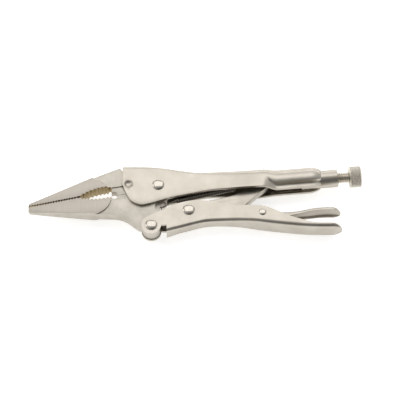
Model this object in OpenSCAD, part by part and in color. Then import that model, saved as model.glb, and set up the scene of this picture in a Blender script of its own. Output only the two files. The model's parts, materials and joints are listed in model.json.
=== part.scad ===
// Long-nose locking pliers, closed and locked, lying on one side.
// +X runs from the nose tip to the adjusting screw, +Y towards the fixed handle and
// +Z up through the thickness. Every module is drawn about the main pivot, which is
// (0, 0, 0) there, and in_frame() moves the whole tool onto its resting plane.

/* [Jaws] */
// Main pivot to nose tip
jaw_reach = 90.5; // [84:0.5:97]
// Thickness of the forged jaw bodies and tangs
jaw_t = 7.7; // [6.4:0.1:9.3]
// Thickness of the ground nose at its shoulder
nose_root_t = 10.8; // [9.6:0.1:13]
// Thickness of the nose at its tip
nose_tip_t = 3; // [2.4:0.1:3.8]
// Height of the fixed jaw's tip above the bite line
upper_tip_h = 2.4; // [1.8:0.1:3]
// Height of the moving jaw's tip below the bite line
lower_tip_h = 4.6; // [3.8:0.1:5.6]
// Slope of the bite line, in degrees
bite_deg = 9.9; // [8:0.1:12]
// Gap between the closed jaws
bite_gap = 0.3; // [0.2:0.05:0.6]
// Pitch of the fine teeth
fine_pitch = 1.85; // [1.5:0.05:2.3]
// Depth of the fine teeth
fine_depth = 0.8; // [0.5:0.05:1]
// Pitch of the coarse teeth in the curved grip
coarse_pitch = 2.7; // [2.2:0.05:3.3]
// Depth of the coarse teeth
coarse_depth = 1.0; // [0.6:0.05:1.3]
// Radius of the curved grip
grip_r = 40; // [34:1:48]
// Greatest depth of the curved grip
grip_depth = 3.8; // [3:0.1:4.6]
// Thickness of the wire cutter's blades
blade_t = 5.8; // [4.8:0.1:6.3]

/* [Handles] */
// Thickness of the handle plate
wall = 2.1; // [1.7:0.05:2.6]
// Side clearance between a handle wall and the piece inside it
side_gap = 0.15; // [0.1:0.05:0.3]
// Main pivot to the rear end of the upper handle's tube
upper_len = 114; // [108:0.5:120]
// Main pivot to the rear end of the lower handle
lower_len = 128; // [120:0.5:134]
// Width of the upper handle at its widest
grip_w = 20; // [18.6:0.1:22]
// Width of the lower handle behind its flare
lower_w = 15.8; // [14.5:0.1:18.5]
// Width of the lower handle round the toggle link
waist_w = 10.9; // [10.6:0.1:12.2]
// Radius of the lower handle's ears
ear_r = 6.8; // [6.2:0.1:7.6]

/* [Pivots] */
// Jaw rivet, measured along X from the main pivot
jaw_rivet_x = -4.55; // [-6:0.05:-3]
// Jaw rivet, measured along Y from the main pivot
jaw_rivet_y = -31.55; // [-33:0.05:-30]
// Link rivet, along X
link_rivet_x = 21.35; // [20:0.05:23]
// Link rivet, along Y
link_rivet_y = -19.4; // [-20.5:0.05:-18.5]
// Lever rivet, along X
lever_rivet_x = 72.6; // [70:0.1:75]
// Lever rivet, along Y
lever_rivet_y = -22.5; // [-23.2:0.1:-21.8]
// Shank radius of the three main rivets
rivet_r = 2.6; // [2.2:0.05:3.1]
// Head radius of the three main rivets
rivet_head_r = 4.2; // [3.6:0.05:5]
// Height of the main rivets' domed heads
rivet_head_h = 1.5; // [1.1:0.05:1.8]
// Shank radius of the lever rivet
lever_pin_r = 1.6; // [1.3:0.05:1.9]
// Head radius of the lever rivet
lever_head_r = 2.6; // [2.2:0.05:3]
// Height of the lever rivet's heads
lever_head_h = 0.9; // [0.6:0.05:1.2]
// Radial clearance of a pin in a piece that turns on it
pin_play = 0.06; // [0.03:0.01:0.1]

/* [Screw] */
// Height of the screw's axis above the main pivot, at the pivot
screw_y0 = -3.2; // [-3.6:0.1:-2.8]
// Slope of the screw's axis, in degrees
screw_deg = 5.2; // [4.6:0.1:5.8]
// Diameter over the thread crests
screw_d = 7.9; // [7:0.1:8.6]
// Pitch of the thread
thread_pitch = 1.41; // [1:0.01:1.6]
// Outside diameter of the threaded collar
collar_d = 12.5; // [11.4:0.1:13.6]
// Length of the collar behind the tube
collar_out = 12; // [9:0.5:15]
// Diameter of the tube formed in the upper handle
tube_d = 18.2; // [17.8:0.1:19]
// Screw thread in sight between collar and knob
thread_out = 7.8; // [6:0.2:10]
// Diameter of the knob
knob_d = 15; // [13:0.1:17]
// Length of the knob
knob_len = 8.8; // [7:0.1:11]
// Clearance at the open joint between the link's end and the screw's tip
toggle_gap = 3.4; // [3:0.1:4.5]

/* [Spring] */
// Outside diameter of the coils
spring_d = 4.2; // [3.6:0.1:4.6]
// Wire diameter
wire_d = 0.8; // [0.6:0.05:0.9]

/* [Hidden] */
$fn = 64;
steel = [0.80, 0.79, 0.76];
shade = [0.70, 0.69, 0.66];

jaw_rivet = [jaw_rivet_x, jaw_rivet_y];
link_rivet_at = [link_rivet_x, link_rivet_y];
lever_rivet_at = [lever_rivet_x, lever_rivet_y];

head_w = jaw_t + 2 * side_gap + 2 * wall;
link_t = waist_w - 2 * wall - 4 * side_gap;
lever_w = lower_w - 2 * wall - 4 * side_gap;
lever_wall = 1.5;
lever_tail_w = lever_w + 1.8;
lever_from_x = 70;
press_play = 0.02;

// Places along the jaws
front_x = -25.1;
nose_c = [-46, -9.1];
nose_r = 13.3;
grip_x = -38;
grip_front_x = -55;
grip_rear_x = -32.6;
blade_rear_x = -22;
blade_drop = 2.5;
blade_h = 6.6;
boss_r = 9.6;
boss_play = 0.6;
tail_r = ear_r - 0.4;
lug = [2.2, -16.2];
lug_r = 4;
lug_recess_r = 4.6;
lug_t = 3;
hook_hole_r = 1.25;
hook_z = lug_t / 2 + wire_d / 2 + 0.1;
hook_reach = 1.6;
jaw_pin = [-20.8, 0.4];
jaw_pin_r = 3.2;
stake_r = 4.6;
stake_depth = 1.1;
anchor = [60, 3.8];
anchor_hole_r = 0.8;
tab_t = 1;
tab_w = 3;
tab_low_y = 2;
tab_high_y = 11.3;

// Places along the handles and the screw
tube_x = 76;
lip_w = 10.8;
lip_drop = 7.6;
lip_shoulder = 5.6;
lip_bend = 30;
taper_len = 8;
taper_wall = 0.9;
web_front_x = 6.1;
link_end = [79.3, 4.0];
link_end_r = 3.2;
collar_in = 16;
tip_s = link_end[0] / cos(screw_deg) + toggle_gap;
tube_end_s = upper_len / cos(screw_deg);
collar_end_s = tube_end_s + collar_out;
knob_s = collar_end_s + thread_out;
knob_end_s = knob_s + knob_len;
knob_bevel = 0.9;

// Box of the whole tool about the main pivot
low_x = -jaw_reach;
high_x = knob_end_s * cos(screw_deg) + (knob_d / 2 - knob_bevel) * sin(screw_deg);
low_y = jaw_rivet_y - ear_r;
high_y = screw_y0 + (knob_end_s - knob_bevel) * sin(screw_deg) + knob_d / 2 * cos(screw_deg);
half_z = grip_w / 2;

module in_frame() {
    translate([-(low_x + high_x) / 2, -(low_y + high_y) / 2, half_z]) children();
}

// A smooth curve through a few points, as a list of points
function spline(p, steps = 6) = [
    for (i = [0 : len(p) - 2])
        let (a = p[max(i - 1, 0)], b = p[i], c = p[i + 1], d = p[min(i + 2, len(p) - 1)])
            for (k = [0 : steps - 1])
                let (t = k / steps)
                    0.5 * (2 * b + (c - a) * t + (2 * a - 5 * b + 4 * c - d) * t * t
                        + (3 * b - a - 3 * c + d) * t * t * t),
    p[len(p) - 1]
];

function arc(c, r, a0, a1, steps = 12) = [
    for (i = [0 : steps]) let (a = a0 + (a1 - a0) * i / steps) c + r * [cos(a), sin(a)]
];

function backwards(p) = [for (i = [len(p) - 1 : -1 : 0]) p[i]];

function raised(p, h) = [for (q = p) [q[0], q[1] + h]];

// Height of the bite line, which runs just over the main pivot
bite_y0 = 0.5;
function bite(x) = bite_y0 + tan(bite_deg) * x;

// Depth of the curved grip below the bite line at x
function grip(x) = max(0, sqrt(grip_r * grip_r - (x - grip_x) * (x - grip_x)) - grip_r + grip_depth);

// The toothed edge from the tip to the rear of the grip; side is 1 on the fixed jaw
function toothed(side) = [
    for (x = [-jaw_reach : fine_pitch : grip_front_x - fine_pitch])
        for (k = [0, 1])
            let (u = x + k * fine_pitch / 2)
                [u, bite(u) + side * (bite_gap / 2 + k * fine_depth)],
    for (x = [grip_front_x : coarse_pitch : grip_rear_x - coarse_pitch])
        for (k = [0, 1])
            let (u = x + [0.3, 0.8][k] * coarse_pitch)
                [u, bite(u) + side * (bite_gap / 2 + grip(u) + k * coarse_depth)],
];

// The plate of a side outline, centred on the middle plane
module plate(points, t) {
    linear_extrude(height = t, center = true) polygon(points);
}

// A plan outline, given as half widths along X, seen from above and filled along Y
module plan(half_widths) {
    rotate([90, 0, 0])
        linear_extrude(height = 200, center = true)
            polygon(concat(half_widths, [for (q = backwards(half_widths)) [q[0], -q[1]]]));
}

module bore(at, r) {
    translate([at[0], at[1], -50]) cylinder(r = r, h = 100);
}

module on_screw(s = 0) {
    translate([0, screw_y0, 0]) rotate([0, 0, screw_deg]) translate([s, 0, 0]) rotate([0, 90, 0]) children();
}

// A rivet with two domed heads, through a stack of plates of width w
module rivet(at, r, head_r, head_h, w) {
    dome_r = (head_r * head_r + head_h * head_h) / (2 * head_h);
    translate([at[0], at[1], 0]) {
        translate([0, 0, -w / 2]) cylinder(r = r, h = w);
        for (side = [0, 1])
            mirror([0, 0, side])
                translate([0, 0, w / 2])
                    intersection() {
                        translate([0, 0, head_h - dome_r]) sphere(r = dome_r);
                        cylinder(r = head_r, h = head_h + 1);
                    }
    }
}

// The ground nose: a wedge in plan that ends at a round shoulder
module nose_zone() {
    intersection() {
        plan([
            [-jaw_reach - 5, nose_tip_t / 2],
            [-jaw_reach, nose_tip_t / 2],
            [nose_c[0], nose_root_t / 2],
            [0, nose_root_t / 2],
        ]);
        union() {
            translate([nose_c[0], nose_c[1], -10]) cylinder(r = nose_r, h = 20);
            translate([-jaw_reach - 5, -60, -10]) cube([jaw_reach + 5 + nose_c[0], 100, 20]);
        }
    }
}

module jaw(points) {
    intersection() {
        plate(points, 20);
        nose_zone();
    }
    intersection() {
        plate(points, jaw_t);
        translate([nose_c[0], -60, -10]) cube([100, 100, 20]);
    }
}

// Upper handle: a channel that becomes a tube round the collar
upper_top = spline([
    [front_x, 15.0], [-10, 15.0], [2, 14.1], [14, 12.2], [26, 10.6], [38, 10.7], [52, 11.6],
    [66, 12.6], [tube_x + 6, 13.7],
]);
upper_low = spline([
    [-24.7, 0.8], [-22.9, -5.5], [-19.2, -12.3], [-12.5, -15.6], [-5.8, -14.6], [8, -10.3],
    [22, -7.1], [36, -4.4], [50, -3.6], [66, -3.3], [tube_x + 6, -2.2],
]);
upper_plan = [
    for (q = spline([
        [front_x - 2, head_w / 2], [10, head_w / 2], [28, head_w / 2 + 0.1], [46, grip_w / 2 - 2.3],
        [60, grip_w / 2 - 0.25], [64, grip_w / 2], [71, grip_w / 2], [tube_x, tube_d / 2],
    ])) [q[0], min(q[1], grip_w / 2)]
];

// Section of the tube, open between two lips; inner is 1 for the space inside it
module tube_section(inner) {
    r = tube_d / 2 - inner * wall;
    half = lip_w / 2 - inner * wall;
    shoulder = lip_shoulder - inner;
    low = lip_drop + 10 * inner;
    polygon(concat(
        arc([0, 0], r, -lip_bend, 180 + lip_bend, 28),
        [[-half, -shoulder], [-half, -low], [half, -low], [half, -shoulder]]
    ));
}

module tube_part(inner) {
    s = tube_x / cos(screw_deg) - inner;
    len_s = tube_end_s - s + inner;
    translate([0, screw_y0, 0])
        rotate([0, 0, screw_deg])
            translate([s, 0, 0])
                rotate([0, 90, 0])
                    linear_extrude(height = len_s) tube_section(inner);
}

// The tube's rear end is drawn in towards the collar
module tube_taper() {
    s = tube_x / cos(screw_deg) - 2;
    full_r = tube_d / 2 + 0.4;
    end_r = collar_d / 2 + taper_wall;
    on_screw()
        rotate_extrude()
            polygon(concat(
                [[0, s], [tube_d, s], [tube_d, tube_end_s - taper_len], [full_r, tube_end_s - taper_len]],
                [for (i = [1 : 8])
                    let (t = i / 8)
                        [full_r - (full_r - end_r) * t * t, tube_end_s - taper_len * (1 - t)]],
                [[0, tube_end_s]]
            ));
}

module upper_handle() color(steel) {
    difference() {
        union() {
            intersection() {
                plate(concat(upper_top, backwards(upper_low)), 60);
                plan(upper_plan);
            }
            intersection() {
                tube_part(0);
                tube_taper();
            }
        }
        intersection() {
            plate(concat(
                raised([[front_x - 5, 15], each upper_top], -wall), [[tube_x + 6, -40], [front_x - 5, -40]]
            ), 60);
            plan([for (q = upper_plan) [q[0], q[1] - wall]]);
        }
        intersection() {
            tube_part(1);
            translate([0, -50, -50]) cube([upper_len - collar_in - 0.2, 100, 100]);
        }
        on_screw(tube_x / cos(screw_deg) + 10) cylinder(d = collar_d + 2 * press_play, h = 60);
        bore([0, 0], rivet_r + press_play);
        bore(jaw_pin, jaw_pin_r + press_play);
    }
    difference() {
        translate([anchor[0] - tab_t / 2, tab_low_y, -tab_w / 2])
            cube([tab_t, tab_high_y - tab_low_y, tab_w]);
        translate([anchor[0] - tab_t, anchor[1], 0])
            rotate([0, 90, 0]) cylinder(r = anchor_hole_r, h = 2 * tab_t);
    }
}

module threaded_collar() color(steel) {
    bore_r = screw_d / 2 + pin_play;
    s0 = tube_end_s - collar_in;
    len_s = collar_in + collar_out;
    on_screw(s0)
        rotate_extrude()
            polygon([
                [bore_r, 0], [collar_d / 2, 0], [collar_d / 2, len_s - 0.7],
                [collar_d / 2 - 0.7, len_s], [bore_r, len_s],
            ]);
}

fixed_outline = concat(
    toothed(1),
    [[grip_rear_x, bite(grip_rear_x) + grip(grip_rear_x)]],
    [[grip_rear_x, bite(grip_rear_x) + 3.9], [blade_rear_x, bite(blade_rear_x) + 3.9]],
    [[blade_rear_x, bite(blade_rear_x) - blade_drop + bite_gap / 2]],
    arc([0, 0], boss_r + boss_play, 200, 125, 12),
    [[-5.8, 12.1], [front_x - 0.8, 12.1], [front_x - 0.8, 13.1], [front_x - 2.2, 14.1]],
    [[-jaw_reach + 1, bite(-jaw_reach) + upper_tip_h], [-jaw_reach, bite(-jaw_reach) + upper_tip_h - 0.8]]
);

notch = [grip_rear_x + 1.8, bite(grip_rear_x + 1.8) - blade_drop + 0.4];
notch_r = 2.7;

module blade(side) {
    y0 = -blade_drop + side * bite_gap / 2;
    x0 = grip_rear_x;
    x1 = blade_rear_x + 2;
    linear_extrude(height = blade_t, center = true)
        polygon([
            [x0, bite(x0) + y0], [x1, bite(x1) + y0], [x1, bite(x1) + y0 + side * blade_h],
            [x0, bite(x0) + y0 + side * blade_h],
        ]);
}

module fixed_jaw() color(steel) {
    difference() {
        union() {
            jaw(fixed_outline);
            blade(1);
        }
        bore(notch, notch_r);
        bore(jaw_pin, jaw_pin_r + press_play);
    }
}

module fixed_jaw_pin() color(shade) {
    translate([jaw_pin[0], jaw_pin[1], 0])
        difference() {
            cylinder(r = jaw_pin_r, h = head_w, center = true);
            for (side = [-1, 1])
                translate([0, 0, side * (head_w / 2 + stake_r - stake_depth)]) sphere(r = stake_r);
        }
}

module main_pivot_rivet() color(steel) rivet([0, 0], rivet_r, rivet_head_r, rivet_head_h, head_w);

mate_x = -boss_r * cos(21);
moving_outline = concat(
    toothed(-1),
    [[grip_rear_x, bite(grip_rear_x) - grip(grip_rear_x) - bite_gap / 2]],
    [[grip_rear_x + 0.6, bite(grip_rear_x) - 6.2], [blade_rear_x, bite(blade_rear_x) - 6.9]],
    [[blade_rear_x, bite(blade_rear_x) - blade_drop - bite_gap / 2]],
    [[mate_x, bite(mate_x) - blade_drop - bite_gap / 2]],
    arc([0, 0], boss_r, 202, -40, 40),
    arc(lug, lug_r, 40, -60, 8),
    [[2.4, -24]],
    arc(jaw_rivet, tail_r, 20, -170, 20),
    spline([
        [-13.2, -31.7], [-16.3, -29.6], [-19.8, -26.6], [-24, -24.2], [-30, -22.8], [nose_c[0], -22.2],
    ]),
    [[-jaw_reach + 1.2, bite(-jaw_reach) - lower_tip_h], [-jaw_reach, bite(-jaw_reach) - lower_tip_h + 1]]
);

module moving_jaw() color(steel) {
    difference() {
        union() {
            jaw(moving_outline);
            blade(-1);
        }
        bore(notch, notch_r);
        bore([0, 0], rivet_r + pin_play);
        bore(jaw_rivet, rivet_r + pin_play);
        bore(lug, hook_hole_r);
        for (side = [0, 1])
            mirror([0, 0, side])
                translate([lug[0], lug[1], lug_t / 2]) cylinder(r = lug_recess_r, h = jaw_t);
    }
}

module jaw_handle_rivet() color(steel) rivet(jaw_rivet, rivet_r, rivet_head_r, rivet_head_h, head_w);

// Lower handle: a channel open towards the upper handle, with two ears in front
lower_top = spline([
    [-7.8, -25.6], [-2.9, -22.8], [4, -19.6], [11.7, -15.4], [20, -12.8], [29, -11.9], [38, -13.2],
    [50, -15.6], [62, -16.7], [71, -17.2], [78, -19.2], [85, -22.4], [92, -25.5], [99, -27.9],
    [106, -29.9], [113, -30.9], [lower_len - 8, -30.9], [lower_len - 3, -31.5], [lower_len, -32.6],
]);
lower_low = spline([
    [web_front_x, -36.6], [15, -33.8], [22, -31.8], [29, -29.8], [36, -28.6], [50, -28.2], [64, -29.0],
    [78, -30.9], [92, -32.5], [106, -33.6], [lower_len - 8, -33.7], [lower_len, -33.2],
]);
lower_sides = [
    for (q = spline([
        [-20, head_w / 2], [4, head_w / 2], [8, head_w / 2], [14, waist_w / 2], [18, waist_w / 2],
        [24, waist_w / 2], [46, waist_w / 2], [lever_from_x, lower_w / 2], [80, lower_w / 2],
        [lower_len - 8, lower_w / 2],
    ], 5)) [q[0], min(q[1], lower_w / 2)]
];
lower_plan = concat(lower_sides, arc([lower_len - 8, 0], 8, 80, 0, 8));

module lower_handle() color(steel) {
    difference() {
        union() {
            intersection() {
                plate(concat(lower_top, backwards(lower_low), [[web_front_x, -30], [-4, -28]]), 60);
                plan(lower_plan);
            }
            intersection() {
                translate([jaw_rivet[0], jaw_rivet[1], -head_w / 2]) cylinder(r = ear_r, h = head_w);
                translate([-20, -60, -20]) cube([20 + web_front_x, 60, 40]);
            }
        }
        intersection() {
            plate(concat(
                raised(lower_low, wall), [[lower_len - 3, 0], [-20, 0], [-20, -60], [web_front_x, -60]]
            ), 60);
            plan([
                for (q = lower_plan)
                    if (q[0] < lower_len - 3.5) [q[0], max(q[1] - wall, 0.5)]
            ]);
        }
        bore(jaw_rivet, rivet_r + press_play);
        bore(link_rivet_at, rivet_r + press_play);
        bore(lever_rivet_at, lever_pin_r + press_play);
    }
}

module link_rivet() color(steel) rivet(link_rivet_at, rivet_r, rivet_head_r, rivet_head_h, waist_w);

module toggle_link() color(shade) {
    end_c = link_end - link_end_r * [cos(screw_deg), sin(screw_deg)];
    difference() {
        plate(concat(
            arc(link_rivet_at, 6.3, 300, 100, 24),
            spline([[27, -13.4], [38, -10.6], [50, -7.6], [60, -3.4], [68, 2.2], [end_c[0] - 2.4, 6]]),
            arc(end_c, link_end_r, 100, -50, 12),
            spline([[76.5, -0.6], [71.6, -4.4], [66, -9.6], [60.4, -15]]),
            [[56, -16.6], [40, -20.6]]
        ), link_t);
        bore(link_rivet_at, rivet_r + pin_play);
    }
}

module lever_rivet() color(steel)
    rivet(lever_rivet_at, lever_pin_r, lever_head_r, lever_head_h, lower_w);

// Release lever: a dished channel, open downwards
lever_top = spline([
    [57.5, -19.6], [64, -18.3], [72, -18.3], [80, -19.8], [88, -20.9], [95, -20.4], [103, -19],
    [111, -17.8], [119, -17.2], [124, -17.6], [127.2, -19],
]);
lever_low = spline([
    [57.5, -21], [63, -25], [72, -26.6], [80, -26], [88, -24.6], [96, -23], [104, -21.3], [112, -20.2],
    [120, -19.8], [124, -19.9], [127.2, -20.4],
]);
lever_plan = concat(
    [for (q = lower_sides) if (q[0] > 47 && q[0] < lever_from_x - 1) [q[0], q[1] - wall - 2 * side_gap]],
    spline([
        [lever_from_x, lever_w / 2], [84, lever_w / 2], [98, lever_w / 2], [106, lever_tail_w / 2],
        [119, lever_tail_w / 2],
    ]),
    arc([120.5, 0], 6.7, 75, 0, 8)
);

module release_lever() color(steel) {
    difference() {
        intersection() {
            plate(concat(lever_top, backwards(lever_low)), 60);
            plan(lever_plan);
        }
        intersection() {
            plate(concat(raised(lever_top, -lever_wall), [[127, -60], [60, -60]]), 60);
            plan([
                for (q = lever_plan)
                    if (q[0] > 58 && q[0] < 125) [q[0], max(q[1] - lever_wall, 0.5)]
            ]);
        }
        bore(lever_rivet_at, lever_pin_r + pin_play);
    }
}

module adjusting_screw() color(shade) {
    crest = screw_d / 2;
    root = crest - 0.61 * thread_pitch;
    s1 = knob_s + 4;
    thread_from = collar_end_s - 2 * thread_pitch;
    turns = floor((knob_s - thread_from) / thread_pitch);
    on_screw()
        rotate_extrude()
            polygon(concat(
                [[0, tip_s], [crest - 1, tip_s], [crest, tip_s + 1], [crest, thread_from]],
                [for (i = [0 : turns - 1])
                    for (k = [0, 1])
                        [[root, crest][k], thread_from + (i + [0.5, 1][k]) * thread_pitch]],
                [[root, knob_s], [root, s1], [0, s1]]
            ));
}

module screw_knob() color(shade) {
    root = screw_d / 2 - 0.61 * thread_pitch;
    on_screw(knob_s)
        rotate_extrude()
            polygon([
                [root + pin_play, 0.2], [knob_d / 2 - knob_bevel, 0.2], [knob_d / 2, 0.2 + knob_bevel],
                [knob_d / 2, knob_len - knob_bevel], [knob_d / 2 - knob_bevel, knob_len], [0, knob_len],
                [0, 4.2], [root + pin_play, 4.2],
            ]);
}

// A straight piece of the spring's wire between two points at one height
module wire(from, to, z) {
    d = to - from;
    translate([from[0], from[1], z])
        rotate([0, 0, atan2(d[1], d[0])])
            rotate([0, 90, 0]) cylinder(d = wire_d, h = norm(d));
}

// Tension spring: its outer form, from the jaw's lug to the tab in the upper handle
module tension_spring() color(shade) {
    from = [12.6, -10.2];
    to = [54, 0.4];
    dir = to - from;
    len_s = norm(dir);
    turn = atan2(dir[1], dir[0]);
    translate([from[0], from[1], 0])
        rotate([0, 0, turn])
            rotate([0, 90, 0]) cylinder(d = spring_d, h = len_s);
    wire([lug[0], lug[1]], [13.2, -10.1], hook_z);
    translate([lug[0], lug[1], -hook_z]) cylinder(d = wire_d, h = 2 * hook_z);
    wire([53.4, 0.3], [anchor[0], anchor[1]] + hook_reach * [cos(28), sin(28)], 0);
}

in_frame() upper_handle();
in_frame() threaded_collar();
in_frame() fixed_jaw();
in_frame() fixed_jaw_pin();
in_frame() main_pivot_rivet();
in_frame() moving_jaw();
in_frame() jaw_handle_rivet();
in_frame() lower_handle();
in_frame() link_rivet();
in_frame() toggle_link();
in_frame() lever_rivet();
in_frame() release_lever();
in_frame() adjusting_screw();
in_frame() screw_knob();
in_frame() tension_spring();
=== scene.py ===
import bpy
import bmesh
import json
import math
from mathutils import Matrix, Vector


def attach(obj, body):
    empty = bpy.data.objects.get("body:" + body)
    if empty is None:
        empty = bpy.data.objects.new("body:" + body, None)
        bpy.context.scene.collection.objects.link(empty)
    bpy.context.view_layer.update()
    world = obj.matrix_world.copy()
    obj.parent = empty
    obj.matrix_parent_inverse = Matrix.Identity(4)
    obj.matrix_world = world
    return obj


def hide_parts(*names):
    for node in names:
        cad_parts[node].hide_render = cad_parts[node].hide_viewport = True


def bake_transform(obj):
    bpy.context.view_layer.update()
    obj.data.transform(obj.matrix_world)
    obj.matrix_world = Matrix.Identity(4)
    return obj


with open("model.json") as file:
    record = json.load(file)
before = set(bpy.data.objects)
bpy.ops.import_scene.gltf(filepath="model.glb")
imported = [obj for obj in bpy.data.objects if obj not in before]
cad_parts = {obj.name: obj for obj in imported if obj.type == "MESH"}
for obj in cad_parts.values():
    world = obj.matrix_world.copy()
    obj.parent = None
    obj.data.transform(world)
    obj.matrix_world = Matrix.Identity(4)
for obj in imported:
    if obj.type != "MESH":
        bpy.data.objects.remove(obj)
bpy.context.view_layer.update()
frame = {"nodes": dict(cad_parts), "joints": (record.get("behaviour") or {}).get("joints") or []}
print("frame loaded")

# Every size below is in millimetres about the main pivot: X towards the screw, Y towards
# the upper handle, Z through the thickness from the middle plane
joints = {j["name"]: j for j in frame["joints"]}
pivot = Vector(joints["jaw_pivot"]["pos_m"])
mm = 0.001
screwAxis = Vector(joints["screw_travel"]["axis"]).normalized()
knobStart = Vector(joints["knob_spin"]["pos_m"])


def place(x, y, z=0.0):
    return pivot + Vector((x, y, z)) * mm


def linear(hexColour):
    channels = [int(hexColour[i:i + 2], 16) / 255 for i in (1, 3, 5)]
    # the standard sRGB curve
    return [c / 12.92 if c <= 0.04045 else ((c + 0.055) / 1.055) ** 2.4
            for c in channels] + [1.0]


# A Catmull-Rom curve through the points
def smoothCurve(points, steps=6):
    out = []
    last = len(points) - 1
    for i in range(last):
        a, b, c, d = points[max(i - 1, 0)], points[i], points[i + 1], points[min(i + 2, last)]
        for k in range(steps):
            t = k / steps
            out.append([
                0.5 * (2 * q + (r - p) * t + (2 * p - 5 * q + 4 * r - s) * t * t
                       + (3 * q - p - 3 * r + s) * t * t * t)
                for p, q, r, s in zip(a, b, c, d)
            ])
    out.append(list(points[last]))
    return out


def valueAt(curve, x):
    if x <= curve[0][0]:
        return curve[0][1]
    for (x0, y0), (x1, y1) in zip(curve, curve[1:]):
        if x <= x1:
            return y0 if x1 - x0 < 1e-9 else y0 + (y1 - y0) * (x - x0) / (x1 - x0)
    return curve[-1][1]


def shareOf(x, low, high):
    return min(1.0, max(0.0, (x - low) / (high - low)))


def easeBetween(x, low, high):
    t = shareOf(x, low, high)
    return t * t * (3 - 2 * t)


# rows are (first, step, count)
def spaced(rows):
    return [first + step * k for first, step, count in rows for k in range(count)]


def addNode(tree, kind, settings=None, links=None):
    node = tree.nodes.new(kind)
    for key, value in (settings or {}).items():
        if hasattr(node, key):
            setattr(node, key, value)
        else:
            node.inputs[key].default_value = value
    for key, source in (links or {}).items():
        tree.links.new(source, node.inputs[key])
    return node


def newMaterial(name, shaderSettings):
    material = bpy.data.materials.new(name)
    material.use_nodes = True
    tree = material.node_tree
    shader = tree.nodes["Principled BSDF"]
    for key, value in shaderSettings.items():
        shader.inputs[key].default_value = value
    coords = addNode(tree, "ShaderNodeTexCoord")
    return material, tree, shader, coords.outputs["Object"]


noiseRoughness = 0.6
noiseSpan = (0.3, 0.7)
colourStops = (0.32, 0.68)


# size is the width of a patch, in metres
def mottle(tree, coords, size, detail=3.0, stretch=(1, 1, 1)):
    mapping = addNode(tree, "ShaderNodeMapping", {"Scale": stretch}, {"Vector": coords})
    return addNode(tree, "ShaderNodeTexNoise",
                   {"Scale": 1 / size, "Detail": detail, "Roughness": noiseRoughness},
                   {"Vector": mapping.outputs["Vector"]}).outputs["Fac"]


def mixColours(tree, factor, dark, light):
    ramp = addNode(tree, "ShaderNodeValToRGB", None, {"Fac": factor})
    for stop, position, colour in zip(ramp.color_ramp.elements, colourStops, (dark, light)):
        stop.position = position
        stop.color = linear(colour)
    return ramp.outputs["Color"]


def spread(tree, factor, low, high):
    return addNode(tree, "ShaderNodeMapRange", {
        "From Min": noiseSpan[0], "From Max": noiseSpan[1], "To Min": low, "To Max": high},
        {"Value": factor}).outputs["Result"]


# patches colour the metal and grain raises its bump, both as (size, detail, stretch).
# The grain also sets the roughness, unless evenGrain is set. The bump is (strength, metres)
metals = {
    # satin nickel over pressed steel: a warm, light metal with a faint orange peel
    "satinNickelPlate": {
        "patches": (0.012, 3.0), "colours": ("#B7B0A4", "#C2BCB1"),
        "roughness": (0.31, 0.39), "grain": (0.0009, 2.0), "bump": (0.08, 0.0002)},
    # nickel over a shot-blasted forging: duller, with the grain of the blasting
    "blastedNickelForging": {
        "patches": (0.009, 3.0), "colours": ("#B4AEA3", "#C4BEB3"),
        "roughness": (0.38, 0.5), "grain": (0.0006, 3.0), "bump": (0.25, 0.0002)},
    # belt-ground faces: fine parallel scratches 0.3 mm apart, drawn along Y
    "beltGroundSteel": {
        "patches": (0.0022, 2.0, (1, 0.08, 1)), "colours": ("#A9A298", "#B3ACA2"),
        "roughness": (0.36, 0.46), "grain": (0.0003, 2.0, (1, 0.02, 1)),
        "bump": (0.18, 0.0001), "evenGrain": True},
    # broached tooth flanks: bare steel, painted brown as a painted reflection of what the flanks
    # mirror
    "broachedSteelPaintedReflection": {
        "patches": (0.0008, 3.0, (1, 1, 0.15)), "colours": ("#94835F", "#BCAB85"),
        "roughness": (0.4, 0.55)},
    # bright-dipped rivet heads: nearly a mirror
    "polishedNickelRivet": {
        "patches": (0.002, 3.0), "colours": ("#BAB3A7", "#C6C0B6"), "roughness": (0.1, 0.16)},
    # turned, rolled and knurled steel under thin nickel: greyer, with dull flanks
    "turnedNickelSteel": {
        "patches": (0.0012, 4.0), "colours": ("#C6BFB3", "#DCD6CB"), "roughness": (0.32, 0.46)},
    # patented spring wire: dark, drawn, with a low sheen
    "drawnSpringWire": {
        "patches": (0.0008, 3.0), "colours": ("#8A857C", "#A8A298"), "roughness": (0.28, 0.4)},
}


def makeMetal(name, d):
    material, tree, shader, coords = newMaterial(name, {"Metallic": 1.0})
    patches = mottle(tree, coords, *d["patches"])
    tree.links.new(mixColours(tree, patches, *d["colours"]), shader.inputs["Base Color"])
    grain = mottle(tree, coords, *d["grain"]) if "grain" in d else patches
    roughBy = patches if "evenGrain" in d else grain
    tree.links.new(spread(tree, roughBy, *d["roughness"]), shader.inputs["Roughness"])
    if "bump" in d:
        strength, distance = d["bump"]
        bump = addNode(tree, "ShaderNodeBump", {"Strength": strength, "Distance": distance},
                       {"Height": grain})
        tree.links.new(bump.outputs["Normal"], shader.inputs["Normal"])
    return material


(plateMetal, forgingMetal, groundMetal, paintedReflectionToothMetal, rivetMetal, screwMetal,
 wireMetal) = [makeMetal(name, d) for name, d in metals.items()]
print("materials made")


def meshObject(name, bm, *materials):
    mesh = bpy.data.meshes.new(name)
    bm.normal_update()
    bm.to_mesh(mesh)
    bm.free()
    for material in materials:
        mesh.materials.append(material)
    piece = bpy.data.objects.new(name, mesh)
    bpy.context.scene.collection.objects.link(piece)
    return piece


def bakeModifiers(piece):
    bpy.context.view_layer.update()
    graph = bpy.context.evaluated_depsgraph_get()
    final = bpy.data.meshes.new_from_object(piece.evaluated_get(graph))
    piece.modifiers.clear()
    piece.data = final
    return piece


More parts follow.
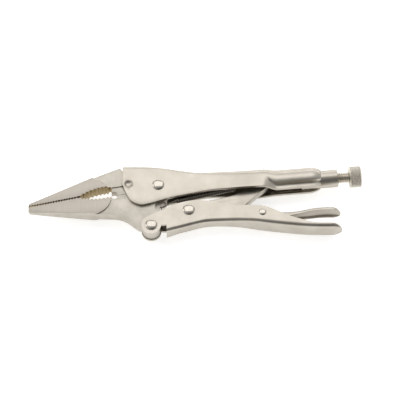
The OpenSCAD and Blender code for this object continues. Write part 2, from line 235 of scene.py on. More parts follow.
def bevelled(piece, width, segments=2, angle=32):
    bevel = piece.modifiers.new("edges", "BEVEL")
    bevel.width = width * mm
    bevel.segments = segments
    bevel.limit_method = "ANGLE"
    bevel.angle_limit = math.radians(angle)
    bevel.use_clamp_overlap = True
    bevel.harden_normals = False
    return bakeModifiers(piece)


def smooth(piece, angle=35):
    for face in piece.data.polygons:
        face.use_smooth = True
    piece.data.set_sharp_from_angle(angle=math.radians(angle))
    return piece


def cut(piece, cutter, operation="DIFFERENCE"):
    boolean = piece.modifiers.new("cut", "BOOLEAN")
    boolean.operation = operation
    boolean.solver = "EXACT"
    boolean.object = cutter
    bakeModifiers(piece)
    bpy.data.objects.remove(cutter)
    return piece


flatAngle = math.radians(0.6)


# Joins points nearer than the distance, in metres, and merges facets into flat faces
def mergeFlats(bm, distance):
    bmesh.ops.remove_doubles(bm, verts=bm.verts, dist=distance)
    bmesh.ops.dissolve_limit(bm, angle_limit=flatAngle, verts=bm.verts, edges=bm.edges)


def cylinderCutter(x, y, z, radius, depth):
    bm = bmesh.new()
    bmesh.ops.create_cone(bm, cap_ends=True, segments=48, radius1=radius * mm,
                          radius2=radius * mm, depth=depth * mm,
                          matrix=Matrix.Translation(place(x, y, z)))
    return meshObject("cutter", bm)


def box(low, high):
    bm = bmesh.new()
    bmesh.ops.create_cube(bm, size=1)
    for v in bm.verts:
        v.co = place(*[low[i] + (v.co[i] + 0.5) * (high[i] - low[i]) for i in range(3)])
    return meshObject("box", bm)


thickestShare = 0.85


# stations are (x, outer path), each path the same count of (z, y) from one lip to the other.
# The wall is thinner where the section is too narrow or too shallow for it
def sheetLoft(name, stations, wall, material):
    bm = bmesh.new()
    rings = []
    for x, path in stations:
        inner = []
        rise = path[len(path) // 2][1] - path[0][1]
        widest = max(z for z, y in path)
        inwards = min(wall, thickestShare * abs(rise), thickestShare * widest)
        inwards = math.copysign(inwards, rise)
        for i, (z, y) in enumerate(path):
            z0, y0 = path[max(i - 1, 0)]
            z1, y1 = path[min(i + 1, len(path) - 1)]
            length = math.hypot(z1 - z0, y1 - y0) or 1
            inner.append((z - (y1 - y0) / length * inwards,
                          y + (z1 - z0) / length * inwards))
        rings.append([bm.verts.new(place(x, y, z)) for z, y in path + inner[::-1]])
    count = len(rings[0])
    half = count // 2
    for a, b in zip(rings, rings[1:]):
        for i in range(count):
            j = (i + 1) % count
            bm.faces.new((a[i], a[j], b[j], b[i]))
    for ring, flip in ((rings[0], False), (rings[-1], True)):
        for i in range(half - 1):
            corners = [ring[i], ring[count - 1 - i], ring[count - 2 - i], ring[i + 1]]
            bm.faces.new(corners[::-1] if flip else corners)
    bmesh.ops.remove_doubles(bm, verts=bm.verts, dist=1e-7)
    bmesh.ops.recalc_face_normals(bm, faces=bm.faces)
    return meshObject(name, bm, material)


def mirrored(halfPath):
    return halfPath + [(-z, y) for z, y in halfPath[-2::-1]]


section = {"wallAt": (0, 0.15, 0.4, 0.65, 0.85), "cornerSteps": 8, "webAt": (0.66, 0.33, 0),
           "cornerShare": 0.9}


# from the lip at z > 0 to the middle of the web; webY may be above or below the lip
def channelHalf(lipZ, lipY, wallZ, webY, corner, d=section):
    side = 1 if webY > lipY else -1
    corner = min(corner, abs(webY - lipY) * d["cornerShare"])
    bend = webY - side * corner
    path = [(lipZ + (wallZ - lipZ) * t, lipY + (bend - lipY) * t) for t in d["wallAt"]]
    for k in range(d["cornerSteps"] + 1):
        a = math.radians(90 * k / d["cornerSteps"])
        path.append((wallZ - corner + corner * math.cos(a), bend + side * corner * math.sin(a)))
    path += [((wallZ - corner) * t, webY) for t in d["webAt"]]
    return path


# the half width at x of a channel with a half-round end
def roundedHalf(d, x, wallZ):
    centre, radius = d["round"]
    if x <= centre:
        return wallZ
    chord = math.sqrt(max(radius * radius - (x - centre) ** 2, 0))
    return min(wallZ, max(chord, d["endHalf"]))


def roundStations(d):
    centre, radius = d["round"]
    return [centre + radius * math.sin(math.radians(a)) for a in d["roundAt"]]


jawPin = {"at": (-20.8, 0.4), "radius": 3.2, "face": 6.1, "rim": 0.45, "chamfer": 0.2,
          "gap": 0.02, "dish": 1.3, "dishSteps": 8, "drill": 40}
upperHandle = {
    "wall": 2.1, "front": -25.1, "tubeRadius": 9.1, "tubeFrom": 73, "tubeFull": 84,
    "taperFrom": 106, "end": 114, "endRadius": 6.85, "lipHalf": 5.4, "lipDrop": 7.5,
    "lipSteps": 2, "shoulderDrop": 4.4, "shoulderRun": 0.9, "shoulderOut": 0.35,
    "shoulderUp": 0.2, "bendAngle": -24, "cornerHead": 2.6, "cornerGrip": 6.5,
    "cornerFrom": 25, "cornerTo": 70, "edge": 0.35,
    "stations": [(1, 3, 23), (71, 0.7, 21), (86, 4, 5), (106, 0.8, 10), (114, 1, 1)],
    "top": [(-25.1, 15.0), (-10, 15.0), (2, 14.1), (14, 12.2), (26, 10.6), (38, 10.7),
            (52, 11.6), (66, 12.6), (78, 13.5), (90, 14.4)],
    "lip": [(-25.1, 0.8), (-24.7, -0.4), (-22.9, -5.5), (-19.2, -12.3), (-12.5, -15.6),
            (-5.8, -14.6), (8, -10.3), (22, -7.1), (36, -4.4), (50, -3.6), (66, -3.2),
            (76, -2.4), (84, -1.6), (100, -1.0), (114, -0.6)],
    "half": [(-25.1, 6.1), (10, 6.1), (28, 6.2), (44, 7.3), (58, 9.3), (66, 9.95), (72, 9.6),
             (80, 9.1), (114, 9.1)],
    "halfTop": [(-25.1, 6.1), (10, 6.1), (28, 6.2), (46, 7.3), (62, 8.6), (76, 9.1),
                (114, 9.1)],
}


# the height of the screw's axis
def axisY(x):
    start = (knobStart - pivot) / mm
    return start.y + (x - start.x) * screwAxis.y / screwAxis.x


# the tube's path, with a bent lip, in as many points as the channel's
def tubeHalf(d, x, count):
    t = shareOf(x, d["taperFrom"], d["end"])
    radius = d["tubeRadius"] - (d["tubeRadius"] - d["endRadius"]) * t * t
    f = radius / d["tubeRadius"]
    y0 = axisY(x)
    lipZ, lipY = d["lipHalf"] * f, y0 - d["lipDrop"] * f
    run = (d["lipDrop"] - d["shoulderDrop"] - d["shoulderRun"]) * f
    path = [(lipZ, lipY + run * k / d["lipSteps"]) for k in range(d["lipSteps"] + 1)]
    path.append((lipZ + d["shoulderOut"] * f, y0 - (d["shoulderDrop"] + d["shoulderUp"]) * f))
    bend = math.radians(d["bendAngle"])
    left = count - len(path)
    for k in range(left):
        a = bend + (math.pi / 2 - bend) * k / (left - 1)
        path.append((radius * math.cos(a), y0 + radius * math.sin(a)))
    return path


def makeUpperHandle(d):
    top, lip = smoothCurve(d["top"]), smoothCurve(d["lip"])
    half, halfTop = smoothCurve(d["half"]), smoothCurve(d["halfTop"])
    xs = {round(p[0], 3) for p in lip if p[0] < 0} | set(spaced(d["stations"]))
    stations = []
    for x in sorted(xs):
        x = max(x, d["front"])
        grip = easeBetween(x, d["cornerFrom"], d["cornerTo"])
        corner = d["cornerHead"] + (d["cornerGrip"] - d["cornerHead"]) * grip
        channel = channelHalf(valueAt(half, x), valueAt(lip, x), valueAt(halfTop, x),
                              valueAt(top, x), corner)
        tube = tubeHalf(d, x, len(channel))
        w = easeBetween(x, d["tubeFrom"], d["tubeFull"])
        stations.append((x, mirrored([(a[0] + (b[0] - a[0]) * w, a[1] + (b[1] - a[1]) * w)
                                      for a, b in zip(channel, tube)])))
    shell = sheetLoft("upperHandleShell", stations, d["wall"], plateMetal)
    cut(shell, cylinderCutter(*jawPin["at"], 0, jawPin["radius"], jawPin["drill"]))
    bevelled(shell, d["edge"])
    return smooth(shell)


# A surface turned about Z, in millimetres; a point on the axis is one vertex
def ringed(bm, profile, steps):
    rings = []
    angles = [2 * math.pi * k / steps for k in range(steps)]
    for along, radius in profile:
        points = [(radius * math.cos(a), radius * math.sin(a), along) for a in angles]
        if radius <= 1e-6:
            points = [(0, 0, along)]
        rings.append([bm.verts.new(point) for point in points])
    for a, b in zip(rings, rings[1:]):
        for k in range(steps):
            j = (k + 1) % steps
            corners = [a[k % len(a)], a[j % len(a)], b[j % len(b)], b[k % len(b)]]
            corners = [c for i, c in enumerate(corners) if c not in corners[:i]]
            bm.faces.new(corners)
    bmesh.ops.recalc_face_normals(bm, faces=bm.faces)


# from millimetres along Z to the frame's metres along the axis
def alongAxis(at, axis):
    turn = Vector((0, 0, 1)).rotation_difference(axis).to_matrix().to_4x4()
    return Matrix.Translation(at) @ turn @ Matrix.Scale(mm, 4)


# profile is (distance along, radius) in mm, turned about an axis through at
def turned(name, profile, at, axis, material, steps=64):
    bm = bmesh.new()
    ringed(bm, profile, steps)
    bmesh.ops.transform(bm, verts=bm.verts, matrix=alongAxis(at, axis))
    return smooth(meshObject(name, bm, material), 40)


def handOver(piece, body, slotName, *nodes):
    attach(piece, body)
    if nodes:
        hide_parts(*nodes)
    return piece


handOver(makeUpperHandle(upperHandle), "upper_handle", "nickel_plate", "upper_handle")

springTab = {"low": (59.5, 2.0, -1.5), "high": (60.5, 11.2, 1.5), "hole": (60, 3.8),
             "holeRadius": 0.8, "drill": 2, "edge": 0.15}
drill, holeRadius = springTab["drill"], springTab["holeRadius"]
tab = box(springTab["low"], springTab["high"])
tab.name = "springTab"
tab.data.materials.append(plateMetal)
holeProfile = [(-drill, 0), (-drill, holeRadius), (drill, holeRadius), (drill, 0)]
cut(tab, turned("cutter", holeProfile, place(*springTab["hole"]), Vector((1, 0, 0)),
                plateMetal, 24))
bevelled(tab, springTab["edge"])
handOver(smooth(tab), "upper_handle", "nickel_plate")
print("upper handle made")

lowerHandle = {
    "wall": 2.1, "webFrom": 6.1, "corner": 2.6, "cornerShare": 0.7, "edge": 0.3, "widest": 7.9,
    "ear": (-4.55, -31.55, 6.8), "earFrom": 120, "earTo": 360, "earStep": 6,
    "plateHalf": 6.1, "plateOverlap": 0.8, "plateTopFrom": -6.5, "plateTopGap": 0.3,
    "notchY": -31.6, "notchLength": 4, "merge": 1e-6,
    "top": [(-7.8, -25.6), (-2.9, -22.8), (4, -19.6), (11.7, -15.4), (20, -12.8), (29, -11.9),
            (38, -13.2), (50, -15.6), (62, -16.7), (71, -17.2), (78, -19.2), (85, -22.4),
            (92, -25.5), (99, -27.9), (106, -29.9), (113, -30.9), (120, -30.9), (125, -31.5),
            (128, -32.6)],
    "low": [(6.1, -36.6), (15, -33.8), (22, -31.8), (29, -29.8), (36, -28.6), (50, -28.2),
            (64, -29.0), (78, -30.9), (92, -32.5), (106, -33.6), (120, -33.7), (128, -33.2)],
    "half": [(-20, 6.1), (4, 6.1), (8, 6.1), (14, 5.45), (18, 5.45), (24, 5.45), (46, 5.45),
             (70, 7.9), (80, 7.9), (120, 7.9)],
    "stations": [(6.1, 0.7, 14), (17.0, 3, 35)], "last": 127.9,
    "round": (120, 8.0), "roundAt": (10, 20, 30, 40, 50, 60, 66, 71), "endHalf": 2.3,
}


# One flat side wall in front of the web, with its round ear
def frontPlate(d, side):
    earX, earY, earR = d["ear"]
    plateEnd, notchY = d["webFrom"] + d["plateOverlap"], d["notchY"]
    turn = [math.radians(a) for a in range(d["earFrom"], d["earTo"] + 1, d["earStep"])]
    outline = [(earX + earR * math.cos(a), earY + earR * math.sin(a)) for a in turn]
    outline += [(plateEnd - d["notchLength"], notchY), (plateEnd, notchY)]
    curve = smoothCurve(d["top"])
    top = [p for p in curve if d["plateTopFrom"] < p[0] < plateEnd - d["plateTopGap"]]
    outline += [(plateEnd, valueAt(curve, plateEnd))] + top[::-1]
    bm = bmesh.new()
    outer, inner = [[bm.verts.new(place(x, y, side * z)) for x, y in outline]
                    for z in (d["plateHalf"], d["plateHalf"] - d["wall"])]
    bm.faces.new(outer)
    bm.faces.new(inner[::-1])
    for i in range(len(outline)):
        j = (i + 1) % len(outline)
        bm.faces.new((outer[i], outer[j], inner[j], inner[i]))
    bmesh.ops.recalc_face_normals(bm, faces=bm.faces)
    return meshObject("cutter", bm)


def makeLowerHandle(d):
    half = smoothCurve(d["half"], 5)
    top, low = smoothCurve(d["top"]), smoothCurve(d["low"])
    xs = spaced(d["stations"]) + roundStations(d) + [d["last"]]
    stations = []
    for x in sorted(set(round(x, 4) for x in xs)):
        wallZ = roundedHalf(d, x, min(valueAt(half, x), d["widest"]))
        corner = min(d["corner"], wallZ * d["cornerShare"])
        path = channelHalf(wallZ, valueAt(top, x), wallZ, valueAt(low, x), corner)
        stations.append((x, mirrored(path)))
    shell = sheetLoft("lowerHandleShell", stations, d["wall"], plateMetal)
    for side in (-1, 1):
        cut(shell, frontPlate(d, side), "UNION")
    bm = bmesh.new()
    bm.from_mesh(shell.data)
    mergeFlats(bm, d["merge"])
    bm.to_mesh(shell.data)
    bm.free()
    bevelled(shell, d["edge"])
    return smooth(shell)


handOver(makeLowerHandle(lowerHandle), "lower_handle", "nickel_plate", "lower_handle")
print("lower handle made")

releaseLever = {
    "wall": 1.5, "corner": 2.0, "cornerShare": 0.6, "edge": 0.25,
    "top": [(57.5, -19.6), (64, -18.3), (72, -18.3), (80, -19.8), (88, -20.9), (95, -20.4),
            (103, -19), (111, -17.8), (119, -17.2), (124, -17.6), (127.2, -19)],
    "low": [(57.5, -21), (63, -25), (72, -26.6), (80, -26), (88, -24.6), (96, -23),
            (104, -21.3), (112, -20.2), (120, -19.8), (124, -19.9), (127.2, -20.4)],
    "half": [(55, 4.0), (57.5, 4.15), (66.8, 5.15), (70, 5.5), (98, 5.5), (106, 6.4),
             (119, 6.4)],
    "stations": [(57.5, 1, 1), (57.9, 1, 1), (58.8, 2.2, 28)], "last": 127.1,
    "round": (120.5, 6.7), "roundAt": (8, 18, 28, 38, 48, 58, 66, 73), "endHalf": 1.8,
    "pin": (72.6, -22.5), "pinRadius": 1.66, "drill": 30,
}


def makeReleaseLever(d):
    top, low, half = smoothCurve(d["top"]), smoothCurve(d["low"]), smoothCurve(d["half"])
    stations = []
    for x in sorted(spaced(d["stations"]) + roundStations(d) + [d["last"]]):
        wallZ = roundedHalf(d, x, valueAt(half, x))
        corner = min(d["corner"], wallZ * d["cornerShare"])
        path = channelHalf(wallZ, valueAt(low, x), wallZ, valueAt(top, x), corner)
        stations.append((x, mirrored(path)))
    shell = sheetLoft("releaseLeverShell", stations, d["wall"], plateMetal)
    cut(shell, cylinderCutter(*d["pin"], 0, d["pinRadius"], d["drill"]))
    bevelled(shell, d["edge"])
    return smooth(shell)


handOver(makeReleaseLever(releaseLever), "release_lever", "nickel_plate", "release_lever")
print("release lever made")

groundSlot, paintedReflectionSlot = 1, 2
jaws = {
    "edge": 0.32, "noseCentre": (-46, -9.1), "noseRadius": 13.35, "noseBack": -51,
    "bodyHalf": 3.9, "gripFrom": -56.0, "gripTo": -32.4, "gripSag": 5.6,
    "biteSlope": math.tan(math.radians(9.9)), "biteStart": 0.5, "fineBand": 1.3,
    "uprightUpTo": 0.75, "flatFrom": 0.9,
}
link = {"edge": 0.3}
cadEdges = {"merge": 2e-6, "segments": 3, "bevelAngle": 25, "smoothAngle": 30}


# A bevelled copy of a CAD node's mesh, with its facets merged into flat faces
def fromCad(name, node, edge, *materials, d=cadEdges):
    bm = bmesh.new()
    bm.from_mesh(frame["nodes"][node].data)
    mergeFlats(bm, d["merge"])
    piece = bevelled(meshObject(name, bm, *materials), edge, d["segments"], d["bevelAngle"])
    return smooth(piece, d["smoothAngle"])


# Ground faces on the nose, teeth along the bite painted brown as a painted reflection, and the
# forging everywhere else
def finishJaw(piece, d):
    centreX, centreY = d["noseCentre"]
    for face in piece.data.polygons:
        x, y, z = (face.center - pivot) / mm
        fromBite = abs(y - d["biteStart"] - d["biteSlope"] * x)
        inGrip = d["gripFrom"] < x < d["gripTo"] and fromBite < d["gripSag"]
        inFine = x <= d["gripFrom"] and fromBite < d["fineBand"]
        inNose = x < centreX or math.hypot(x - centreX, y - centreY) < d["noseRadius"]
        raised = abs(z) > d["bodyHalf"] or x < d["noseBack"]
        # upright tooth flanks in the bite get the brown painted reflection
        if abs(face.normal.z) < d["uprightUpTo"] and (inGrip or inFine):
            face.material_index = paintedReflectionSlot
        elif inNose and abs(face.normal.z) > d["flatFrom"] and raised:
            face.material_index = groundSlot
    return piece


for jawName, jawBody in (("fixed_jaw", "upper_handle"), ("moving_jaw", "moving_jaw")):
    jawPiece = fromCad(jawName.split("_")[0] + "JawForging", jawName, jaws["edge"],
                       forgingMetal, groundMetal, paintedReflectionToothMetal)
    handOver(finishJaw(jawPiece, jaws), jawBody, "nickel_forging", jawName)
linkPiece = fromCad("toggleLinkPlate", "toggle_link", link["edge"], plateMetal)
handOver(linkPiece, "toggle_link", "nickel_forging", "toggle_link")
print("jaws and link made")


# the pin's face is dished by a round punch and chamfered at its rim
def pinHalf(d):
    radius, steps = d["radius"] - d["gap"], d["dishSteps"]
    dished = [k / steps for k in range(steps + 1)]
    path = [(-d["face"] + d["dish"] * math.sqrt(1 - r * r), r * (radius - d["rim"]))
            for r in dished]
    return path + [(-d["face"], radius - d["chamfer"]), (-d["face"] + d["chamfer"], radius)]


pinProfile = pinHalf(jawPin)
pinProfile += [(-along, radius) for along, radius in pinProfile[::-1]]
stakedPin = turned("stakedPin", pinProfile, place(*jawPin["at"]), Vector((0, 0, 1)), plateMetal)
handOver(stakedPin, "upper_handle", "nickel_plate", "fixed_jaw_pin")

# distances along the screw's axis, from where it passes below the main pivot
screwLine = {"axisAtPivot": -3.2, "tip": 83.024, "tubeEnd": 114.471, "knob": 134.271}


def onScrew(along):
    return place(0, screwLine["axisAtPivot"]) + screwAxis * along * mm


collar = {"radius": 6.25, "bore": 4.02, "from": -14.0, "length": 12.0, "round": 0.7,
          "mouth": 0.5, "steps": 72}


def collarProfile(d):
    start, end, bore, outer, bend = d["from"], d["length"], d["bore"], d["radius"], d["round"]
    turn = [math.radians(a) for a in range(0, 91, 15)]
    path = [(start, bore), (start, outer)]
    path += [(end - bend + bend * math.sin(a), outer - bend + bend * math.cos(a)) for a in turn]
    return path + [(end, bore + d["mouth"]), (end - d["mouth"], bore), (start, bore)]


collarPiece = turned("collarSleeve", collarProfile(collar), onScrew(screwLine["tubeEnd"]),
                     screwAxis, plateMetal, collar["steps"])
handOver(collarPiece, "upper_handle", "nickel_plate", "threaded_collar")


def newGroup(name, sockets):
    tree = bpy.data.node_groups.new(name, "GeometryNodeTree")
    tree.interface.new_socket("Geometry", in_out="INPUT", socket_type="NodeSocketGeometry")
    for label, kind, value in sockets:
        socket = tree.interface.new_socket(label, in_out="INPUT", socket_type=kind)
        socket.default_value = value
    tree.interface.new_socket("Geometry", in_out="OUTPUT", socket_type="NodeSocketGeometry")
    return tree, tree.nodes.new("NodeGroupInput"), tree.nodes.new("NodeGroupOutput")


def mathNode(tree, operation, *values):
    node = tree.nodes.new("ShaderNodeMath")
    node.operation = operation
    for socket, value in zip(node.inputs, values):
        if isinstance(value, (int, float)):
            socket.default_value = value
        else:
            tree.links.new(value, socket)
    return node.outputs[0]


def endTree(tree, geometry, source, out):
    real = addNode(tree, "GeometryNodeRealizeInstances", None, {"Geometry": geometry})
    painted = addNode(tree, "GeometryNodeSetMaterial", None, {
        "Geometry": real.outputs["Geometry"], "Material": source.outputs["Material"]})
    tree.links.new(painted.outputs["Geometry"], out.inputs["Geometry"])


def grown(piece, tree, values):
    modifier = piece.modifiers.new("grow", "NODES")
    modifier.node_group = tree
    for item in tree.interface.items_tree:
        if item.in_out == "INPUT" and item.name in values:
            modifier[item.identifier] = values[item.name]
    bakeModifiers(piece)
    return piece


# Cuts a triangular thread, or a diamond knurl where Crossed is 1, into a turned blank that lies
# along Z, in millimetres. Only the part of the blank at its crest is cut
def threadTree():
    tree, source, out = newGroup("rolledForm", [
        ("Crest", "NodeSocketFloat", 3.95), ("Depth", "NodeSocketFloat", 0.86),
        ("Starts", "NodeSocketFloat", 1.0), ("Lead", "NodeSocketFloat", 1.41),
        ("Crossed", "NodeSocketFloat", 0.0), ("From", "NodeSocketFloat", 0.0),
        ("To", "NodeSocketFloat", 10.0), ("Material", "NodeSocketMaterial", None)])
    given = source.outputs
    positive, crestGap, axisGap = 100, 0.02, 0.01

    def calc(operation, *values):
        return mathNode(tree, operation, *values)

    position = addNode(tree, "GeometryNodeInputPosition")
    axes = addNode(tree, "ShaderNodeSeparateXYZ", None, {"Vector": position.outputs["Position"]})
    x, y, z = (axes.outputs[a] for a in "XYZ")
    turns = calc("DIVIDE", calc("ARCTAN2", y, x), 2 * math.pi)
    around = calc("MULTIPLY", turns, given["Starts"])
    along = calc("DIVIDE", z, given["Lead"])
    first = calc("PINGPONG", calc("ADD", calc("SUBTRACT", along, around), positive), 0.5)
    other = calc("PINGPONG", calc("ADD", calc("ADD", along, around), positive), 0.5)
    both = calc("MULTIPLY", calc("MINIMUM", first, other), given["Crossed"])
    single = calc("MULTIPLY", first, calc("SUBTRACT", 1, given["Crossed"]))
    rise = calc("MULTIPLY", calc("ADD", both, single), 2)
    groove = calc("MULTIPLY", calc("SUBTRACT", 1, rise), given["Depth"])
    radius = calc("SQRT", calc("ADD", calc("MULTIPLY", x, x), calc("MULTIPLY", y, y)))
    outside = calc("GREATER_THAN", radius, calc("SUBTRACT", given["Crest"], crestGap))
    inside = calc("MULTIPLY", calc("GREATER_THAN", z, given["From"]),
                  calc("LESS_THAN", z, given["To"]))
    pull = calc("MULTIPLY", groove, calc("MULTIPLY", outside, inside))
    safe = calc("MAXIMUM", calc("DIVIDE", calc("SUBTRACT", radius, pull), radius), 0)
    moved = addNode(tree, "ShaderNodeCombineXYZ", None, {
        "X": calc("MULTIPLY", x, safe), "Y": calc("MULTIPLY", y, safe), "Z": z})
    placed = addNode(tree, "GeometryNodeSetPosition", None, {
        "Geometry": given["Geometry"], "Position": moved.outputs["Vector"],
        "Selection": calc("GREATER_THAN", radius, axisGap)})
    endTree(tree, placed.outputs["Geometry"], source, out)
    return tree


rolledForm = threadTree()


def rolled(name, profile, at, values, steps, angle):
    bm = bmesh.new()
    ringed(bm, profile, steps)
    piece = grown(meshObject(name, bm), rolledForm, values)
    piece.data.transform(alongAxis(at, screwAxis))
    piece.data.update()
    return smooth(piece, angle)


screw = {"crest": 3.95, "depth": 0.86, "pitch": 1.41, "perTurn": 8, "steps": 48, "end": 55.0,
         "core": 3.05, "tip": 1, "tipGap": 0.02, "runOut": 0.1, "plainRings": 6,
         "threadFrom": 1.1, "threadTo": 54.0, "smooth": 75}


def screwProfile(d):
    crest, pitch, tip, core, end = d["crest"], d["pitch"], d["tip"], d["core"], d["end"]
    rings = int(end / (pitch / d["perTurn"])) - d["plainRings"]
    path = [(0, 0), (0, crest - tip), (tip, crest)]
    path += [(tip + d["tipGap"] + k * pitch / d["perTurn"], crest) for k in range(1, rings)]
    return path + [(path[-1][0] + d["runOut"], core), (end, core), (end, 0)]


screwPiece = rolled("adjustingScrewThread", screwProfile(screw), onScrew(screwLine["tip"]), {
    "Crest": screw["crest"], "Depth": screw["depth"], "Starts": 1.0, "Lead": screw["pitch"],
    "Crossed": 0.0, "From": screw["threadFrom"], "To": screw["threadTo"],
    "Material": screwMetal}, screw["steps"], screw["smooth"])
handOver(screwPiece, "adjusting_screw", "screw_steel", "adjusting_screw")

knob = {"radius": 7.5, "length": 8.8, "bevel": 0.9, "starts": 34, "lead": 1.4, "depth": 0.6,
        "near": 0.2, "bore": 3.12, "boreEnd": 4.2, "dimple": 2.6, "dimpleDepth": 0.5,
        "dimpleOut": 0.3, "dimpleIn": 0.4, "nearRim": 0.2, "farRim": 0.25, "rise": 0.1,
        "bandGap": 0.01, "bandTrim": 0.22, "step": 0.02, "rings": 42, "perStart": 6,
        "smooth": 50}


# The face towards the handle with its bore, the knurled band, and the dimpled far face
def knobProfile(d):
    radius, length, bevel, near = d["radius"], d["length"], d["bevel"], d["near"]
    rim, gap, floor = radius - bevel, d["bandGap"], length - d["dimpleDepth"]
    band = length - 2 * bevel - d["bandTrim"]
    path = [(d["boreEnd"], 0), (d["boreEnd"], d["bore"]), (near, d["bore"]),
            (near, rim - d["nearRim"]), (near + d["rise"], rim), (near + bevel, radius)]
    path += [(near + bevel + gap + band * k / d["rings"], radius) for k in range(d["rings"] + 1)]
    path += [(length - bevel + gap, radius - d["step"]), (length - d["rise"], rim),
             (length, rim - d["farRim"]), (length, d["dimple"] + d["dimpleOut"])]
    return path + [(floor, d["dimple"] - d["dimpleIn"]), (floor, 0)]


knobPiece = rolled("knurledKnob", knobProfile(knob), onScrew(screwLine["knob"]), {
    "Crest": knob["radius"], "Depth": knob["depth"], "Starts": float(knob["starts"]),
    "Lead": knob["lead"], "Crossed": 1.0, "From": knob["near"] + knob["bevel"],
    "To": knob["length"] - knob["bevel"], "Material": screwMetal},
    knob["starts"] * knob["perStart"], knob["smooth"])
handOver(knobPiece, "screw_knob", "screw_steel", "screw_knob")
print("screw, collar and knob made")


# each rivet is (x, y, half width of the walls, head radius, head height)
rivets = {
    "upper_handle": [(0, 0, 6.1, 4.2, 1.5)],
    "lower_handle": [(-4.55, -31.55, 6.1, 4.2, 1.5), (21.35, -19.4, 5.45, 4.2, 1.5),
                     (72.6, -22.5, 7.9, 2.6, 0.9)],
}
rivetDome = {"segments": 56, "rings": 28, "raised": 0.22, "smooth": 180}


# Domed heads on the points of a mesh; the sizes are read from each point
def rivetTree():
    tree, source, out = newGroup("rivetHeads", [
        ("Segments", "NodeSocketInt", 56), ("Rings", "NodeSocketInt", 28),
        ("Material", "NodeSocketMaterial", None)])
    dome = addNode(tree, "GeometryNodeMeshUVSphere", None, {
        "Segments": source.outputs["Segments"], "Rings": source.outputs["Rings"]})
    wide, high = [addNode(tree, "GeometryNodeInputNamedAttribute",
                          {"data_type": "FLOAT", "Name": attribute}).outputs[0]
                  for attribute in ("headRadius", "headHeight")]
    size = addNode(tree, "ShaderNodeCombineXYZ", None, {"X": wide, "Y": wide, "Z": high})
    heads = addNode(tree, "GeometryNodeInstanceOnPoints", None, {
        "Points": source.outputs["Geometry"], "Instance": dome.outputs["Mesh"],
        "Scale": size.outputs["Vector"]})
    endTree(tree, heads.outputs["Instances"], source, out)
    return tree


def rivetHeads(name, heads, tree, d):
    bm = bmesh.new()
    sizes = []
    for x, y, face, radius, height in heads:
        for side in (-1, 1):
            bm.verts.new(place(x, y, side * (face + d["raised"] * height)))
            sizes.append((radius * mm, (1 - d["raised"]) * height * mm))
    piece = meshObject(name, bm)
    for i, attribute in enumerate(("headRadius", "headHeight")):
        layer = piece.data.attributes.new(attribute, "FLOAT", "POINT")
        layer.data.foreach_set("value", [size[i] for size in sizes])
    grown(piece, tree, {"Segments": d["segments"], "Rings": d["rings"], "Material": rivetMetal})
    return smooth(piece, d["smooth"])


headTree = rivetTree()
for bodyName, heads in rivets.items():
    headsName = bodyName.split("_")[0] + "HandleRivetHeads"
    handOver(rivetHeads(headsName, heads, headTree, rivetDome), bodyName, "polished_rivet")

# the hooks' points are offsets from the coil's ends, the lug's hole and the tab's hole
spring = {
    "from": (12.6, -10.2), "to": (54.0, 0.4), "coilRadius": 1.7, "wire": 0.4, "turns": 31,
    "perTurn": 24, "sides": 10, "lug": (2.2, -16.2), "anchor": (60, 3.8), "hookSteps": 4,
    "smooth": 60,
    "frontAtCoil": [(1.2, 0.3, 1.65), (-0.5, -0.4, 2.0)],
    "frontAtLug": [(1.6, 0.9, 2.0), (0.3, 0.2, 1.85), (0, 0, 1.1), (0, 0, -1.4),
                   (0.3, 0.2, -1.9), (1.8, 1.0, -2.05)],
    "rearAtCoil": [(-1.0, 1.3, 0), (1.2, 1.2, 0)],
    "rearAtTab": [(-2.0, -0.9, 0), (-0.9, -0.25, 0), (0, 0, 0), (0.9, -0.2, 0),
                  (1.4, -0.9, 0), (1.3, -2.0, 0)],
}


def springTree():
    tree, source, out = newGroup("closeCoils", [
        ("Turns", "NodeSocketFloat", 31.0), ("Coil radius", "NodeSocketFloat", 1.7),
        ("Length", "NodeSocketFloat", 42.0), ("Wire radius", "NodeSocketFloat", 0.4),
        ("Points per turn", "NodeSocketInt", 24), ("Sides", "NodeSocketInt", 10),
        ("Material", "NodeSocketMaterial", None)])
    given = source.outputs
    spiral = addNode(tree, "GeometryNodeCurveSpiral", None, {
        "Resolution": given["Points per turn"], "Rotations": given["Turns"],
        "Start Radius": given["Coil radius"], "End Radius": given["Coil radius"],
        "Height": given["Length"]})
    circle = addNode(tree, "GeometryNodeCurvePrimitiveCircle", None, {
        "Resolution": given["Sides"], "Radius": given["Wire radius"]})
    wire = addNode(tree, "GeometryNodeCurveToMesh", {"Fill Caps": True}, {
        "Curve": spiral.outputs["Curve"], "Profile Curve": circle.outputs["Curve"]})
    endTree(tree, wire.outputs["Mesh"], source, out)
    return tree


def sweptWire(points, radius, sides):
    curve = bpy.data.curves.new("wire", "CURVE")
    curve.dimensions = "3D"
    curve.bevel_depth = radius * mm
    curve.bevel_resolution = sides // 2 - 2
    curve.use_fill_caps = True
    line = curve.splines.new("POLY")
    line.points.add(len(points) - 1)
    for point, at in zip(line.points, points):
        point.co = (*place(*at), 1)
    piece = bpy.data.objects.new("wire", curve)
    bpy.context.scene.collection.objects.link(piece)
    bpy.context.view_layer.update()
    graph = bpy.context.evaluated_depsgraph_get()
    mesh = bpy.data.meshes.new_from_object(piece.evaluated_get(graph))
    bpy.data.objects.remove(piece)
    return mesh


def shifted(points, start):
    return [(start[0] + x, start[1] + y, z) for x, y, z in points]


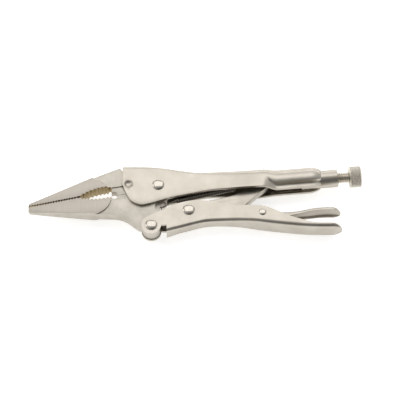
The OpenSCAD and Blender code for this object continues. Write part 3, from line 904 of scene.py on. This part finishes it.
def makeSpring(d):
    (x0, y0), (x1, y1) = d["from"], d["to"]
    along = Vector((x1 - x0, y1 - y0, 0)).normalized()
    across = Vector((-along.y, along.x, 0))
    length = math.hypot(x1 - x0, y1 - y0) - 2 * d["wire"]
    piece = grown(meshObject("openingSpring", bmesh.new(), wireMetal), springTree(), {
        "Turns": float(d["turns"]), "Coil radius": d["coilRadius"], "Length": length,
        "Wire radius": d["wire"], "Points per turn": d["perTurn"], "Sides": d["sides"],
        "Material": wireMetal})
    turn = Matrix((across, Vector((0, 0, 1)), along)).transposed().to_4x4()
    start = place(x0, y0) + along * d["wire"] * mm
    piece.data.transform(Matrix.Translation(start) @ turn @ Matrix.Scale(mm, 4))
    bm = bmesh.new()
    bm.from_mesh(piece.data)
    front = shifted(d["frontAtCoil"], d["from"]) + shifted(d["frontAtLug"], d["lug"])
    rear = shifted(d["rearAtCoil"], d["to"]) + shifted(d["rearAtTab"], d["anchor"])
    for points in (front, rear):
        bm.from_mesh(sweptWire(smoothCurve(points, d["hookSteps"]), d["wire"], d["sides"]))
    bm.to_mesh(piece.data)
    bm.free()
    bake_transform(smooth(piece, d["smooth"]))
    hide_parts("tension_spring")


makeSpring(spring)
for node in ("main_pivot_rivet", "jaw_handle_rivet", "link_rivet", "lever_rivet"):
    slots = frame["nodes"][node].data.materials
    slots.clear()
    slots.append(rivetMetal)
print("rivets and spring made")

# in metres from here on
view = {"lens": 192.9, "sensor": 36, "clipEnd": 10, "aim": (0.0029, 0.0015, 0.010),
        "distance": 1.5, "direction": (0, -0.469, 0.883)}
camera = bpy.data.objects.new("camera", bpy.data.cameras.new("camera"))
bpy.context.scene.collection.objects.link(camera)
bpy.context.scene.camera = camera
camera.data.lens = view["lens"]
camera.data.sensor_width = view["sensor"]
camera.data.clip_end = view["clipEnd"]
aim = Vector(view["aim"])
camera.location = aim + view["distance"] * Vector(view["direction"])
camera.rotation_euler = (aim - camera.location).to_track_quat("-Z", "Y").to_euler()

# the floor glows a little, so that it stays white under faint shadows
paleFloor = {"roughness": 0.9, "specular": 0.1, "glow": 0.62, "patch": 0.05, "half": 2.0,
             "colours": ("#FAFAFA", "#FFFFFF")}
floorMaterial, floorTree, floorShader, floorCoords = newMaterial("paleFloor", {
    "Roughness": paleFloor["roughness"], "Specular IOR Level": paleFloor["specular"],
    "Emission Strength": paleFloor["glow"], "Emission Color": linear("#FFFFFF")})
paper = mottle(floorTree, floorCoords, paleFloor["patch"])
floorTree.links.new(mixColours(floorTree, paper, *paleFloor["colours"]),
                    floorShader.inputs["Base Color"])
floorMesh = bmesh.new()
bmesh.ops.create_grid(floorMesh, x_segments=1, y_segments=1, size=paleFloor["half"])
floor = meshObject("floor", floorMesh, floorMaterial)


lightTarget = Vector((0, 0, 0.01))
softLights = {
    "topSoftbox": {"at": (0, 0.52, 1.0), "size": (1.2, 0.75), "watts": 3.2},
    "leftSoftbox": {"at": (-0.9, 0.2, 0.5), "size": (0.5, 0.6), "watts": 1.6},
    "backStrip": {"at": (0.1, 0.9, 0.25), "size": (1.4, 0.25), "watts": 1.9},
}
for name, d in softLights.items():
    light = bpy.data.objects.new(name, bpy.data.lights.new(name, "AREA"))
    light.data.shape = "RECTANGLE"
    light.data.size, light.data.size_y = d["size"]
    light.data.energy = d["watts"]
    light.location = d["at"]
    light.rotation_euler = (lightTarget - light.location).to_track_quat("-Z", "Y").to_euler()
    bpy.context.scene.collection.objects.link(light)

# the room is dark towards the side that the flat faces reflect to the camera
room = {"darkSide": (0.25, -0.72, 0.6), "from": (0.45, 0.95), "strength": (0.66, 0.14)}
world = bpy.data.worlds.new("whiteRoom")
bpy.context.scene.world = world
world.use_nodes = True
worldTree = world.node_tree
background = worldTree.nodes["Background"]
skyCoords = addNode(worldTree, "ShaderNodeTexCoord")
towards = addNode(worldTree, "ShaderNodeVectorMath", {"operation": "DOT_PRODUCT"},
                  {0: skyCoords.outputs["Generated"]})
towards.inputs[1].default_value = Vector(room["darkSide"]).normalized()
shade = addNode(worldTree, "ShaderNodeMapRange", {
    "From Min": room["from"][0], "From Max": room["from"][1],
    "To Min": room["strength"][0], "To Max": room["strength"][1]},
    {"Value": towards.outputs["Value"]})
worldTree.links.new(shade.outputs["Result"], background.inputs["Strength"])
background.inputs["Color"].default_value = linear("#FFFFFF")
bpy.context.scene.view_settings.view_transform = "Standard"
